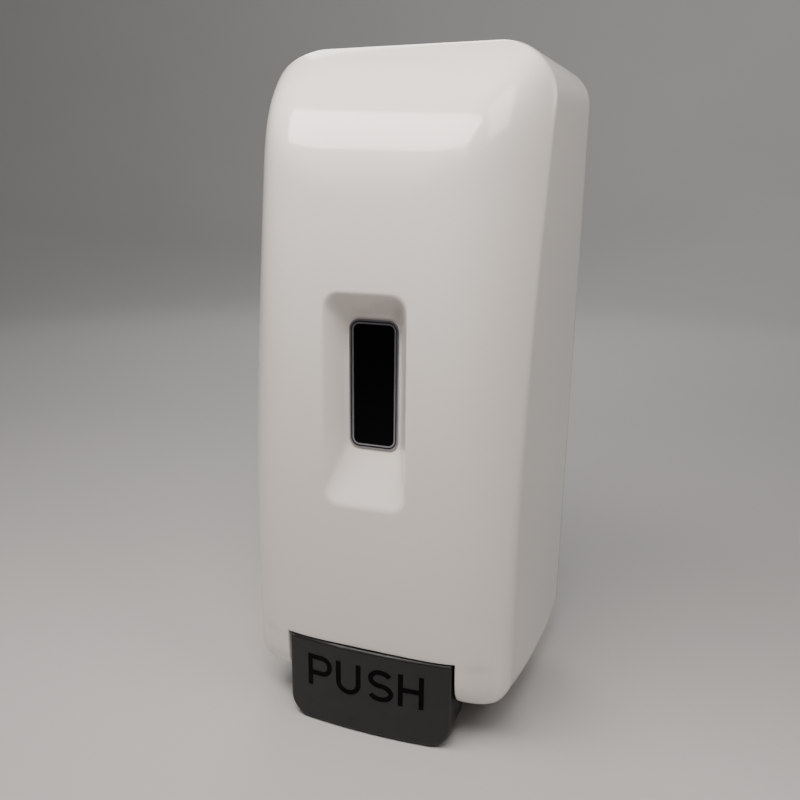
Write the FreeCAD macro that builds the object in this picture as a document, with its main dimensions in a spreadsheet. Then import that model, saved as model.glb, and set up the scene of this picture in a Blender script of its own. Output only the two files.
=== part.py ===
"""Wall mounted soap dispenser with a hinged cover, a push lever and a foam pump.

Millimetres. X runs to the right, Y into the wall and Z up. The origin lies on the wall face, at the
centre of the four wall screw holes, so the whole dispenser stands at negative Y.
"""
import FreeCAD
import Part
import math
import os
import re
import Sketcher

V = FreeCAD.Vector
X_AXIS, Y_AXIS, Z_AXIS = V(1, 0, 0), V(0, 1, 0), V(0, 0, 1)

SIZES = {
    # front cover: outline, crown and wall
    "cover_half_width": 63.2, "cover_side_draft": 0.065, "cover_top": 131.0, "cover_top_rise": 0.052,
    "cover_bottom": -131.4, "cover_rear": 0.6, "cover_wall": 2.5,
    "top_corner": 16.0, "top_corner_growth": 0.13, "bottom_corner": 12.0,
    "front_depth": 106.0, "front_bow": 6.2, "front_bow_height": -5.0, "front_bow_reach": 135.0,
    "crease_depth": 89.3, "crease_retreat": 31.0, "crease_start": -80.0, "crease_reach": 214.0,
    "shoulder_start": 75.0, "shoulder_reach": 59.0, "crease_round": 2.5,
    "skirt_rear_height": -122.5, "lobe_round": 20.0, "lobe_centre_depth": 82.5,
    # recess and window
    "recess_floor": 95.0, "recess_mouth": 106.0, "recess_backing": 2.0,
    "floor_half_width": 10.9, "floor_low": -21.1, "floor_high": 32.0, "floor_corner": 4.8,
    "mouth_half_width": 16.7, "mouth_low": -42.0, "mouth_high": 42.3, "mouth_corner": 6.5,
    "window_half_width": 10.2, "window_low": -20.3, "window_high": 31.1, "window_corner": 4.2,
    "window_line": 0.6, "window_proud": 0.5, "window_depth": 3.0, "retainer_lip": 2.4,
    # push lever and its pivot
    "notch_half_width": 37.4, "notch_top": -105.5, "cheek_thick": 2.5, "cheek_rear": 76.0,
    "cheek_height": -97.0, "lever_half_width": 36.2, "lever_top": -106.0, "lever_bottom": -145.0,
    "lever_front": 103.4, "lever_crown_radius": 271.0, "lever_rear": 82.0, "lever_wall": 2.4,
    "lever_corner": 9.5, "lever_edge": 1.4, "pivot_depth": 88.0, "pivot_height": -112.0,
    "pivot_radius": 2.0, "pivot_half_length": 42.0, "pivot_play": 0.05,
    "arm_inner": 9.5, "arm_outer": 14.5, "arm_top": -109.6, "arm_low": -115.0, "arm_tip": 45.5,
    "pad_radius": 3.0,
    # cover hinge
    "hinge_depth": 13.0, "hinge_height": -119.0, "hinge_radius": 2.5, "hinge_play": 0.05,
    "hinge_boss": 6.0, "hinge_boss_inner": 53.0, "hinge_pin_inner": 46.0, "hinge_pin_outer": 59.0,
    "lug_inner": 46.0, "lug_outer": 51.0,
    # back plate
    "plate_half_width": 58.6, "plate_low": -117.0, "plate_high": 127.0, "plate_thick": 3.0,
    "plate_corner": 14.0, "rim_thick": 2.0, "rim_depth": 9.0, "rim_low": -100.0,
    "wall_screw_x": 40.0, "wall_screw_z": 65.0, "wall_screw_hole": 2.5, "wall_screw_boss": 6.0,
    "boss_depth": 5.0, "rib_thick": 2.0, "rib_x": 30.0,
    # pump bracket
    "bracket_half_width": 26.0, "bracket_low": -79.0, "bracket_high": -38.0, "bracket_depth": 6.0,
    "shelf_low": -68.0, "shelf_thick": 3.0, "shelf_reach": 68.0, "slot_radius": 15.2,
    "gusset_thick": 3.0, "gusset_reach": 40.0, "bracket_screw_x": 18.0, "bracket_screw_low": -74.0,
    "bracket_screw_high": -46.0, "small_screw": 1.5, "small_hole": 1.6, "small_head": 3.0,
    "small_head_high": 1.8, "small_screw_tip": 0.8,
    # pump, on one upright line
    "pump_depth": 48.0, "chamber_bore": 11.0, "chamber_outer": 13.0, "barrel_outer": 14.6,
    "chamber_top": -42.0, "chamber_low": -80.0, "chamber_roof": 4.0, "flange_low": -63.5,
    "flange_high": -61.0, "flange_radius": 17.2, "end_cap_low": -84.0, "end_cap_spigot": 3.0,
    "stem_radius": 5.5, "stem_bore": 3.0, "stem_low_bore": 2.5, "stem_play": 0.08,
    "head_low": -74.0, "head_high": -68.0, "head_radius": 10.4, "groove_radius": 8.6,
    "seal_low": -72.0, "seal_high": -70.0, "seal_radius": 10.93, "duckbill_ledge": -90.0,
    "actuator_low": -108.7, "actuator_thick": 3.0, "actuator_radius": 17.0, "actuator_hub": 7.5,
    "actuator_hub_high": -99.5, "nozzle_low": -130.0, "nozzle_radius": 7.0, "nozzle_bore": 3.2,
    "screen_radius": 4.6, "screen_low": -116.0, "screen_high": -110.0, "spring_radius": 10.6,
    "spring_wire": 0.7, "spring_turns": 5.0, "spring_gap": 0.1, "spring_runs": 24.0, "inlet_hole": 4.4,
    # bottle and its cap
    "bottle_half_width": 48.0, "bottle_front": 86.0, "bottle_rear": 10.0, "bottle_low": -38.0,
    "bottle_high": 96.0, "bottle_corner": 16.0, "bottle_round": 11.0, "bottle_wall": 1.2,
    "neck_radius": 17.5, "neck_wall": 2.1, "neck_low": -59.5, "cap_radius": 21.0, "cap_low": -65.0,
    "cap_high": -45.0, "cap_lip": 15.0, "cap_bore": 17.6,
    # lock
    "lock_depth": 18.0, "lock_hole": 7.05, "lock_barrel": 7.0, "lock_barrel_low": 116.0,
    "lock_seat": 131.2, "lock_flange": 9.0, "lock_flange_thick": 1.5, "plug_radius": 4.5,
    "plug_play": 0.05, "plug_low": 114.0, "nut_radius": 9.5, "nut_low": 124.8, "nut_high": 128.6,
    "cam_thick": 2.0, "cam_reach": 14.6, "cam_hook": 12.3, "cam_half_width": 3.0, "cam_hub": 5.0,
    "keeper_low": 101.0, "keeper_high": 117.0, "keeper_arm": 3.0, "post_inner": 4.6,
    "post_outer": 8.5, "post_front": 12.0, "post_rear": 9.5, "keeper_base": 2.0,
    "keeper_half_width": 14.0, "keeper_base_low": 92.0,
}

doc = FreeCAD.newDocument("soap_dispenser")
sheet = doc.addObject("Spreadsheet::Sheet", "sizes")
for row, (alias, number) in enumerate(SIZES.items(), 1):
    sheet.set("A%d" % row, alias)
    sheet.set("B%d" % row, str(number))
    sheet.setAlias("B%d" % row, alias)
doc.recompute()

nodes = []


# ---------------------------------------------------------------- helpers

def size(name):
    """Read one driving dimension from the sheet."""
    return float(sheet.get(name))


def linked(expression):
    """Point each name of an expression at the sheet."""
    return re.sub(r"[a-z]\w+", lambda found: "sizes." + found.group(), str(expression))


def number(expression):
    """Work out an expression of sheet names."""
    return float(sheet.evalExpression(linked(expression)))


def bind(obj, **expressions):
    """Tie properties of an object to expressions of sheet names."""
    for name, expression in expressions.items():
        obj.setExpression(name, linked(expression))
    return obj


def place(obj, x=0, y=0, z=0):
    """Tie an object's position to expressions of sheet names."""
    for axis, expression in (("x", x), ("y", y), ("z", z)):
        obj.setExpression("Placement.Base." + axis, linked(expression))
    return obj


def keep(obj):
    """Mark an object as a finished sub-part, which is written under its Label."""
    nodes.append(obj)
    return obj


def feature(label, shape):
    """A shape made with Part's own functions, as an object of the document."""
    obj = doc.addObject("Part::Feature", label)
    obj.Shape = shape
    obj.Placement = FreeCAD.Placement()
    return obj


def box(label, x, y, z):
    """A block between two expressions along each axis."""
    obj = doc.addObject("Part::Box", label)
    bind(obj, Length="(%s) - (%s)" % (x[1], x[0]), Width="(%s) - (%s)" % (y[1], y[0]),
         Height="(%s) - (%s)" % (z[1], z[0]))
    return place(obj, x[0], y[0], z[0])


def cylinder(label, radius, length, x=0, y=0, z=0, axis=Z_AXIS):
    """A cylinder that starts at x, y, z and runs along axis."""
    obj = doc.addObject("Part::Cylinder", label)
    obj.Placement.Rotation = FreeCAD.Rotation(Z_AXIS, axis)
    bind(obj, Radius=radius, Height=length)
    return place(obj, x, y, z)


def join(label, shapes):
    obj = doc.addObject("Part::MultiFuse", label)
    obj.Shapes = shapes
    obj.Refine = True
    return obj


def cut(label, base, *tools):
    obj = doc.addObject("Part::Cut", label)
    obj.Base = base
    obj.Tool = tools[0] if len(tools) == 1 else join(label + "_cutters", list(tools))
    obj.Refine = True
    return obj


def overlap(label, first, second):
    obj = doc.addObject("Part::Common", label)
    obj.Base, obj.Tool = first, second
    return obj


def together(label, solids):
    """Separate solids that share one node."""
    obj = doc.addObject("Part::Compound", label)
    obj.Links = solids
    return obj


def sketch_on(body, plane, name):
    """A sketch on one of the body's own origin planes."""
    sketch = body.newObject("Sketcher::SketchObject", name)
    for origin_feature in body.Origin.OriginFeatures:
        if origin_feature.Role == plane:
            sketch.AttachmentSupport = [(origin_feature, "")]
    sketch.MapMode = "FlatFace"
    return sketch


def polygon(sketch, corners):
    """Close straight lines through corners, each a pair of expressions."""
    points = [V(number(across), number(up), 0) for across, up in corners]
    count = len(points)
    first = sketch.GeometryCount
    for i in range(count):
        sketch.addGeometry(Part.LineSegment(points[i], points[(i + 1) % count]))
    for i in range(count):
        after = first + (i + 1) % count
        sketch.addConstraint(Sketcher.Constraint("Coincident", first + i, 2, after, 1))
    for i, corner in enumerate(corners):
        for kind, expression, value in zip(("DistanceX", "DistanceY"), corner, points[i]):
            row = sketch.addConstraint(Sketcher.Constraint(kind, first + i, 1, value))
            sketch.setExpression("Constraints[%d]" % row, linked(expression))


def new_body(label):
    return doc.addObject("PartDesign::Body", label)


def pad(label, plane, corners, length, lift=0):
    """A body padded from a polygon on one of its origin planes, moved along the pad's direction."""
    body = new_body(label)
    sketch = sketch_on(body, plane, label + "_outline")
    polygon(sketch, corners)
    padded = body.newObject("PartDesign::Pad", label + "_pad")
    padded.Profile = sketch
    bind(padded, Length=length)
    if plane == "XZ_Plane":
        place(body, y="-(%s)" % lift)
    elif plane == "YZ_Plane":
        place(body, x=lift)
    else:
        place(body, z=lift)
    doc.recompute()
    return body


def turned(label, corners, y="-pump_depth"):
    """A body turned about an upright axis from (radius, height) corners."""
    body = new_body(label)
    sketch = sketch_on(body, "XZ_Plane", label + "_profile")
    polygon(sketch, corners)
    solid = body.newObject("PartDesign::Revolution", label + "_turn")
    solid.Profile = sketch
    solid.ReferenceAxis = (sketch, ["V_Axis"])
    place(body, y=y)
    return body


def round_edges(body, name, radius, wanted):
    """Fillet the edges of a body that the test picks."""
    doc.recompute()
    tip = body.Tip
    names = ["Edge%d" % (i + 1) for i, edge in enumerate(tip.Shape.Edges) if wanted(edge)]
    rounded = body.newObject("PartDesign::Fillet", name)
    rounded.Base = (tip, names)
    bind(rounded, Radius=radius)
    doc.recompute()
    return rounded


def runs_along(edge, axis):
    """Whether a straight edge is parallel to axis."""
    if edge.Curve.TypeId != "Part::GeomLine":
        return False
    return abs(abs(edge.tangentAt(edge.FirstParameter).dot(axis)) - 1) < 1e-6


# ---------------------------------------------------------------- front cover

def crease_depth(z):
    """Depth of the soft crease where the crowned front meets the side skirt."""
    rise = max(0.0, (z - size("crease_start")) / size("crease_reach"))
    return size("crease_depth") - size("crease_retreat") * rise ** 1.75


def front_depth(x, z):
    """Depth of the crowned front: a bowed middle that falls to the crease at the sides and top."""
    bow = (z - size("front_bow_height")) / size("front_bow_reach")
    middle = size("front_depth") - size("front_bow") * bow ** 2
    crease = crease_depth(z)
    half_width = size("cover_half_width") - size("cover_side_draft") * crease
    aside = (abs(x) / half_width) ** 9.0
    above = max(0.0, (z - size("shoulder_start")) / size("shoulder_reach")) ** 4.4
    return crease + (middle - crease) * (1 - math.sqrt(aside + above))


def front_point(x, z, inset):
    """A point of the front, moved inwards along the surface's own normal."""
    step = 0.05
    slope_x = (front_depth(x + step, z) - front_depth(x - step, z)) / (2 * step)
    slope_z = (front_depth(x, z + step) - front_depth(x, z - step)) / (2 * step)
    outward = V(-slope_x, -1, -slope_z).normalize()
    return V(x, -front_depth(x, z), z) - outward * inset


def front_body(inset):
    """Everything behind the crowned front, as one solid without side walls of its own."""
    widths = [66 * math.sin(math.radians(a)) for a in range(-90, 91, 6)]
    heights = [-150 + 7.5 * i for i in range(30)] + [72 + 4 * i for i in range(18)]
    grid = [[front_point(x, z, inset) for z in heights] for x in widths]
    surface = Part.BSplineSurface()
    surface.interpolate(grid)
    return surface.toShape().extrude(V(0, 200, 0))


def rounded_rectangle(y, half_width, low, high, low_corner, high_corner):
    """A wire at one depth, with its own radius for the lower and the upper corners."""
    edges = []
    corners = ((half_width, low, low_corner, 270), (half_width, high, high_corner, 0),
               (-half_width, high, high_corner, 90), (-half_width, low, low_corner, 180))
    arcs = []
    for x, z, radius, start in corners:
        centre = V(x - math.copysign(radius, x), y, z + radius if z == low else z - radius)
        along = [centre + V(math.cos(math.radians(start + turn)), 0,
                            math.sin(math.radians(start + turn))) * radius for turn in (0, 45, 90)]
        arcs.append(along)
    for i, along in enumerate(arcs):
        edges.append(Part.Arc(*along).toShape())
        edges.append(Part.LineSegment(along[2], arcs[(i + 1) % 4][0]).toShape())
    return Part.Wire(edges)


def outline_body(inset):
    """The cover's outline, with draft on its sides and a top that rises towards the front."""
    wires = []
    for depth in (-5.0, 120.0):
        half_width = size("cover_half_width") - size("cover_side_draft") * depth - inset
        high = size("cover_top") + size("cover_top_rise") * depth - inset
        corner = size("top_corner") + size("top_corner_growth") * depth - inset
        low = size("cover_bottom") - 1 + inset
        wires.append(rounded_rectangle(-depth, half_width, low, high,
                                       size("bottom_corner") - inset, corner))
    return Part.makeLoft(wires, True, True)


def side_view_body():
    """Everything above the cover's curved lower edge and in front of its rear edge."""
    rear, depth, radius = -size("cover_rear"), size("lobe_centre_depth"), size("lobe_round")
    foot = size("cover_bottom") + 2
    start = V(0, rear, size("skirt_rear_height"))
    low = V(0, -depth / 2 - 3, size("cover_bottom"))
    turn = V(0, -depth, foot)
    middle = V(0, -depth - radius * math.sin(math.pi / 4), foot + radius * (1 - math.cos(math.pi / 4)))
    front = V(0, -depth - radius, foot + radius)
    far = V(0, -130, foot + radius)
    top_front, top_rear = V(0, -130, 160), V(0, rear, 160)
    edges = [Part.Arc(start, low, turn).toShape(), Part.Arc(turn, middle, front).toShape()]
    corners = (front, far, top_front, top_rear, start)
    edges += [Part.LineSegment(a, b).toShape() for a, b in zip(corners, corners[1:])]
    face = Part.Face(Part.Wire(edges))
    face.translate(V(-80, 0, 0))
    return face.extrude(V(160, 0, 0))


def recess_body(floor_depth, spread):
    """The scoop around the window, from its floor out past the front."""
    reach = size("recess_mouth") - size("recess_floor")
    wires = []
    for depth in (floor_depth, 116.0):
        share = (depth - size("recess_floor")) / reach
        ends = []
        for side in ("half_width", "low", "high", "corner"):
            floor, mouth = size("floor_" + side), size("mouth_" + side)
            ends.append(floor + (mouth - floor) * share)
        corner = ends[3] + spread
        wires.append(rounded_rectangle(-depth, ends[0] + spread, ends[1] - spread,
                                       ends[2] + spread, corner, corner))
    return Part.makeLoft(wires, True, True)


def round_crease(solid):
    """Soften the crease between the crowned front and the skirt."""
    front = max(solid.Faces, key=lambda face: len(face.Edges) if face.Surface.TypeId ==
                "Part::GeomBSplineSurface" and face.Area > 9000 else 0)
    edges = [edge for edge in front.Edges if edge.BoundBox.ZMax > size("cover_bottom") + 40]
    return solid.makeFillet(size("crease_round"), edges)


def make_front_cover():
    outside = outline_body(0).common(front_body(0))
    outside = round_crease(outside)
    outer = feature("cover_outside", outside.common(side_view_body()))
    wall = size("cover_wall")
    inner = feature("cover_inside", outline_body(wall).common(front_body(wall)))
    shell = cut("cover_shell", outer, inner)
    well = overlap("recess_well",
                   feature("recess_backing_form", recess_body(size("recess_floor") -
                           size("recess_backing"), size("recess_backing"))), outer)
    recess = feature("recess_form", recess_body(size("recess_floor"), 0))
    window = feature("window_opening", window_frame(0.05, "recess_floor - 5", 12))
    cheeks = []
    for side, near, far in (("left", "-notch_half_width - cheek_thick", "-notch_half_width"),
                            ("right", "notch_half_width", "notch_half_width + cheek_thick")):
        cheeks.append(box("cheek_" + side, (near, far), ("-lever_front", "-cheek_rear"),
                          ("cover_bottom - 2", "cheek_height")))
    bosses = [cylinder("hinge_boss_" + side, "hinge_boss", "cover_half_width - hinge_boss_inner",
                       x=start, y="-hinge_depth", z="hinge_height", axis=X_AXIS)
              for side, start in (("left", "-cover_half_width"), ("right", "hinge_boss_inner"))]
    ribs = overlap("cover_ribs", join("cover_rib_forms", cheeks + bosses), outer)
    notch = box("lever_notch", ("-notch_half_width", "notch_half_width"), (-125, 5),
                (-140, "notch_top"))
    pivot_hole = cylinder("cover_pivot_hole", "pivot_radius + 0.02", 90, x=-45, y="-pivot_depth",
                          z="pivot_height", axis=X_AXIS)
    hinge_holes = [cylinder("cover_hinge_hole_" + side, "hinge_radius + hinge_play", 7, x=start,
                            y="-hinge_depth", z="hinge_height", axis=X_AXIS)
                   for side, start in (("left", -59.5), ("right", 52.5))]
    lock_hole = cylinder("cover_lock_hole", "lock_hole", 20, y="-lock_depth", z=120)
    lock_seat = cylinder("cover_lock_seat", "lock_flange + 0.3", 10, y="-lock_depth", z="lock_seat")
    walls = join("cover_walls", [shell, well, ribs])
    return keep(cut("front_cover", walls, recess, window, notch, pivot_hole, *hinge_holes,
                    lock_hole, lock_seat))


# ---------------------------------------------------------------- window in the recess

def window_frame(grow, start, length):
    """A rounded window outline, grown on all sides, that runs forward from a depth."""
    wire = rounded_rectangle(-number(start), size("window_half_width") + grow,
                             size("window_low") - grow, size("window_high") + grow,
                             size("window_corner") + grow, size("window_corner") + grow)
    return Part.Face(wire).extrude(V(0, -length, 0))


def make_window():
    """Bezel, gasket, bright line and lens nest in each other; a retainer holds them from behind."""
    line, depth = size("window_line"), size("window_depth")
    rings = (("window_bezel", 0, 0), ("window_gasket", 1, -0.6), ("lens_trim", 2, -0.15))
    rear = "recess_floor - window_depth"
    for label, step, proud in rings:
        length = depth + size("window_proud") + proud
        ring = window_frame(-step * line, rear, length)
        hole = window_frame(-(step + 1) * line, rear, length)
        keep(feature(label, ring.cut(hole)))
    lens = window_frame(-3 * line, rear, depth + size("window_proud") - 0.25)
    keep(feature("window_lens", lens))
    retainer = window_frame(size("retainer_lip"), rear + " - 1.6", 1.6)
    opening = window_frame(-3 * line, rear + " - 1.6", 1.6)
    keep(feature("window_retainer", retainer.cut(opening)))


# ---------------------------------------------------------------- push lever

def make_push_lever():
    """A hollow paddle with a crowned face, and two arms that lift the pump from below."""
    crown = cylinder("lever_crown", "lever_crown_radius", "lever_top - lever_bottom",
                     y="lever_crown_radius - lever_front", z="lever_bottom")
    block = pad("lever_block", "XZ_Plane",
                [("-lever_half_width", "lever_bottom"), ("lever_half_width", "lever_bottom"),
                 ("lever_half_width", "lever_top"), ("-lever_half_width", "lever_top")],
                "lever_front - lever_rear + 2", lift="lever_rear")
    low = size("lever_bottom")
    round_edges(block, "lever_corners", "lever_corner",
                lambda edge: runs_along(edge, Y_AXIS) and abs(edge.CenterOfMass.z - low) < 1)
    paddle = overlap("lever_paddle", block, crown)
    doc.recompute()
    front_edges = []
    for i, edge in enumerate(paddle.Shape.Edges):
        centre = edge.CenterOfMass
        if centre.y < -size("lever_front") + 4 and abs(edge.BoundBox.YLength) < 4:
            front_edges.append((i + 1, size("lever_edge"), size("lever_edge")))
    rounded = doc.addObject("Part::Fillet", "lever_rounded")
    rounded.Base = paddle
    rounded.Edges = front_edges
    hollow = pad("lever_hollow", "XZ_Plane",
                 [("-lever_half_width + lever_wall", "lever_bottom + lever_wall"),
                  ("lever_half_width - lever_wall", "lever_bottom + lever_wall"),
                  ("lever_half_width - lever_wall", "lever_top - lever_wall"),
                  ("-lever_half_width + lever_wall", "lever_top - lever_wall")],
                 "lever_front - lever_rear - 5", lift="lever_rear - 1")
    round_edges(hollow, "hollow_corners", "lever_corner - lever_wall",
                lambda edge: runs_along(edge, Y_AXIS) and edge.CenterOfMass.z < low + 5)
    arms = []
    for side, inner, outer in (("left", "-arm_outer", "-arm_inner"),
                               ("right", "arm_inner", "arm_outer")):
        arms.append(box("arm_" + side, (inner, outer), ("-lever_front + 4", "-arm_tip"),
                        ("arm_low", "arm_top")))
        arms.append(cylinder("arm_pad_" + side, "pad_radius", "arm_outer - arm_inner", x=inner,
                             y="-pump_depth", z="pivot_height", axis=X_AXIS))
        arms.append(box("arm_web_" + side, (inner, outer), ("-lever_front + 4", "-lever_rear - 8"),
                        ("lever_bottom + 1", "lever_top - 1")))
    shell = cut("lever_shell", rounded, hollow)
    pivot_hole = cylinder("lever_pivot_hole", "pivot_radius + pivot_play", 80, x=-40,
                          y="-pivot_depth", z="pivot_height", axis=X_AXIS)
    keep(cut("push_lever", join("lever_with_arms", [shell] + arms), pivot_hole))


def make_lever_pivot():
    """A steel rod through the cover's cheeks, held by a clip at each end."""
    keep(cylinder("lever_pivot_rod", "pivot_radius", "2 * pivot_half_length",
                  x="-pivot_half_length", y="-pivot_depth", z="pivot_height", axis=X_AXIS))
    clips = []
    for side, start in (("left", "-notch_half_width - cheek_thick - 1"),
                        ("right", "notch_half_width + cheek_thick")):
        disc = cylinder("clip_disc_" + side, "pivot_radius + 2", 1, x=start, y="-pivot_depth",
                        z="pivot_height", axis=X_AXIS)
        hole = cylinder("clip_hole_" + side, "pivot_radius", 1, x=start, y="-pivot_depth",
                        z="pivot_height", axis=X_AXIS)
        clips.append(cut("clip_" + side, disc, hole))
    keep(together("pivot_clips", clips))


# ---------------------------------------------------------------- back plate and hinge

def make_back_plate():
    """A flat plate with a rim, ribs, screw bosses and the two hinge lugs."""
    corners = [("-plate_half_width", "plate_low"), ("plate_half_width", "plate_low"),
               ("plate_half_width", "plate_high"), ("-plate_half_width", "plate_high")]
    sheet_part = pad("plate_sheet", "XZ_Plane", corners, "plate_thick")
    high = size("plate_high")
    round_edges(sheet_part, "plate_corners", "plate_corner",
                lambda edge: runs_along(edge, Y_AXIS) and abs(edge.CenterOfMass.z - high) < 1)
    rim_form = pad("rim_form", "XZ_Plane", corners, "rim_depth")
    round_edges(rim_form, "rim_corners", "plate_corner",
                lambda edge: runs_along(edge, Y_AXIS) and abs(edge.CenterOfMass.z - high) < 1)
    inside = [("-plate_half_width + rim_thick", "plate_low - 5"),
              ("plate_half_width - rim_thick", "plate_low - 5"),
              ("plate_half_width - rim_thick", "plate_high - rim_thick"),
              ("-plate_half_width + rim_thick", "plate_high - rim_thick")]
    rim_hollow = pad("rim_hollow", "XZ_Plane", inside, "rim_depth + 4", lift=-2)
    round_edges(rim_hollow, "rim_hollow_corners", "plate_corner - rim_thick",
                lambda edge: runs_along(edge, Y_AXIS) and edge.CenterOfMass.z > 0)
    rim_end = box("rim_end", (-70, 70), (-20, 5), ("plate_low - 10", "rim_low"))
    pieces = [sheet_part, cut("plate_rim", rim_form, rim_hollow, rim_end)]
    for side in (-1, 1):
        pieces.append(box("plate_rib_%d" % (side + 2), ("%d * rib_x - rib_thick / 2" % side,
                          "%d * rib_x + rib_thick / 2" % side), ("-plate_thick - 2.5", "-1"),
                          ("bracket_low - 12", "keeper_base_low - 6")))
        inner, outer = ("lug_inner", "lug_outer") if side > 0 else ("-lug_outer", "-lug_inner")
        pieces.append(box("hinge_lug_%d" % (side + 2), (inner, outer), ("-hinge_depth", "-1"),
                          ("hinge_height - hinge_boss + 1", "hinge_height + hinge_boss + 6")))
        pieces.append(cylinder("hinge_lug_end_%d" % (side + 2), "hinge_boss - 1",
                               "lug_outer - lug_inner", x=inner, y="-hinge_depth",
                               z="hinge_height", axis=X_AXIS))
    holes = []
    for i, (x, z) in enumerate(((-1, -1), (1, -1), (-1, 1), (1, 1))):
        spot = dict(x="%d * wall_screw_x" % x, z="%d * wall_screw_z" % z, axis=-Y_AXIS)
        pieces.append(cylinder("screw_boss_%d" % i, "wall_screw_boss", "boss_depth", **spot))
        holes.append(cylinder("wall_screw_hole_%d" % i, "wall_screw_hole", 30, y=10, **spot))
    for i, (x, y, z, length) in enumerate(small_screw_spots()):
        holes.append(cylinder("plate_pilot_%d" % i, "small_hole", 12, x=x,
                              y="-small_screw_tip + 0.1", z=z, axis=-Y_AXIS))
    holes.append(cylinder("lug_holes", "hinge_radius + 0.02", 120, x=-60, y="-hinge_depth",
                          z="hinge_height", axis=X_AXIS))
    keep(cut("back_plate", join("plate_walls", pieces), *holes))


def small_screw_spots():
    """Where the small screws sit: x, depth of the head's seat, z and which piece they hold."""
    bracket = [("%d * bracket_screw_x" % side, "bracket_depth", height, "bracket")
               for side in (-1, 1) for height in ("bracket_screw_low", "bracket_screw_high")]
    keeper = [("%d * (keeper_half_width - 5)" % side, "plate_thick + keeper_base",
               "keeper_base_low + 4", "keeper") for side in (-1, 1)]
    return bracket + keeper


def make_hinge_pins():
    pins = [cylinder("hinge_pin_" + side, "hinge_radius", "hinge_pin_outer - hinge_pin_inner",
                     x=start, y="-hinge_depth", z="hinge_height", axis=X_AXIS)
            for side, start in (("left", "-hinge_pin_outer"), ("right", "hinge_pin_inner"))]
    keep(together("hinge_pins", pins))


def make_pump_bracket():
    """A plate with a forked shelf that the pump's collar slides onto from the front."""
    base = box("bracket_base", ("-bracket_half_width", "bracket_half_width"),
               ("-bracket_depth", "-plate_thick"), ("bracket_low", "bracket_high"))
    shelf = box("bracket_shelf", ("-bracket_half_width", "bracket_half_width"),
                ("-shelf_reach", "-bracket_depth + 1"), ("shelf_low", "shelf_low + shelf_thick"))
    gussets = []
    for side, start in (("left", "-bracket_half_width"), ("right",
                        "bracket_half_width - gusset_thick")):
        gussets.append(pad("gusset_" + side, "YZ_Plane",
                           [("-bracket_depth + 1", "shelf_low"), ("-gusset_reach", "shelf_low"),
                            ("-gusset_reach", "shelf_low + shelf_thick + 1"),
                            ("-bracket_depth + 1", "bracket_high")], "gusset_thick", lift=start))
    slot_end = cylinder("slot_end", "slot_radius", 12, y="-pump_depth", z="shelf_low - 4")
    slot = box("slot_way", ("-slot_radius", "slot_radius"), ("-shelf_reach - 5", "-pump_depth"),
               ("shelf_low - 4", "shelf_low + shelf_thick + 4"))
    holes = [cylinder("bracket_hole_%d" % i, "small_hole", 12, x=x, z=z, axis=-Y_AXIS)
             for i, (x, y, z, holds) in enumerate(small_screw_spots()) if holds == "bracket"]
    keep(cut("pump_bracket", join("bracket_walls", [base, shelf] + gussets), slot_end, slot, *holes))


def make_small_screws():
    """Pan head screws that hold the bracket and the keeper to the back plate."""
    for holds in ("bracket", "keeper"):
        screws = []
        for i, (x, seat, z, held) in enumerate(small_screw_spots()):
            if held != holds:
                continue
            name = "%s_screw_%d" % (holds, i)
            shank = cylinder(name + "_shank", "small_screw", "%s - small_screw_tip" % seat, x=x,
                             y="-small_screw_tip", z=z, axis=-Y_AXIS)
            head = cylinder(name + "_head", "small_head", "small_head_high", x=x,
                            y="-(%s)" % seat, z=z, axis=-Y_AXIS)
            slot = box(name + "_slot", ("%s - small_head" % x, "%s + small_head" % x),
                       ("-(%s) - small_head_high" % seat, "-(%s) - small_head_high + 0.9" % seat),
                       ("%s - 0.4" % z, "%s + 0.4" % z))
            screws.append(cut(name, join(name + "_blank", [shank, head]), slot))
        keep(together(holds + "_screws", screws))


# ---------------------------------------------------------------- pump

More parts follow.
